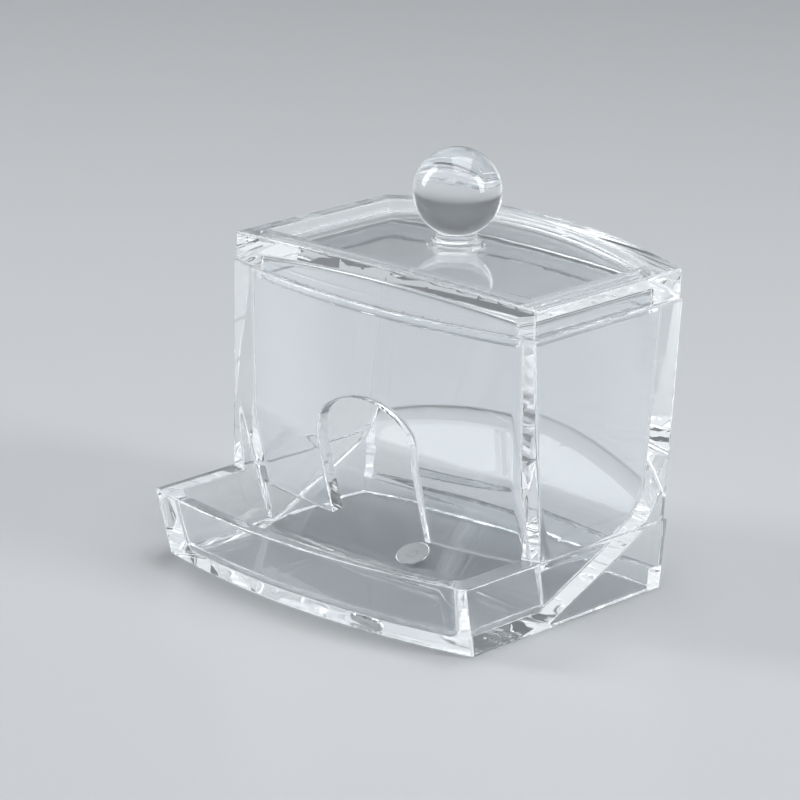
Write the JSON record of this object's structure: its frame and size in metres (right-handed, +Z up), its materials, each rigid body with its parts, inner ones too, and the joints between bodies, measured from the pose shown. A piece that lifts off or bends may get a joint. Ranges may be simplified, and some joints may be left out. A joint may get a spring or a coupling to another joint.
{
  "type": "cotton swab holder",
  "caption": "Clear bow-fronted swab dispenser: a lidded hopper with a ball knob and a finger notch feeds swabs down a ramp into a front tray.",
  "frame": {"origin": "on the table, under the middle of the object's outline", "axes": "+Z up, +X to the right as seen from the tray, the tray faces -Y"},
  "size_m": [0.0952, 0.0846, 0.0968],
  "materials": {
    "clear_plastic": "polished clear acrylic moulding"
  },
  "bodies": {
    "holder": {"tray_base": "clear_plastic", "hopper": "clear_plastic"},
    "lid": {"lid": "clear_plastic", "knob": "clear_plastic"}
  },
  "joints": [
    {"name": "lid_lift", "type": "slide", "parent": "holder", "child": "lid", "axis": [0, 0, 1], "range_m": [0, 0.06]}
  ]
}
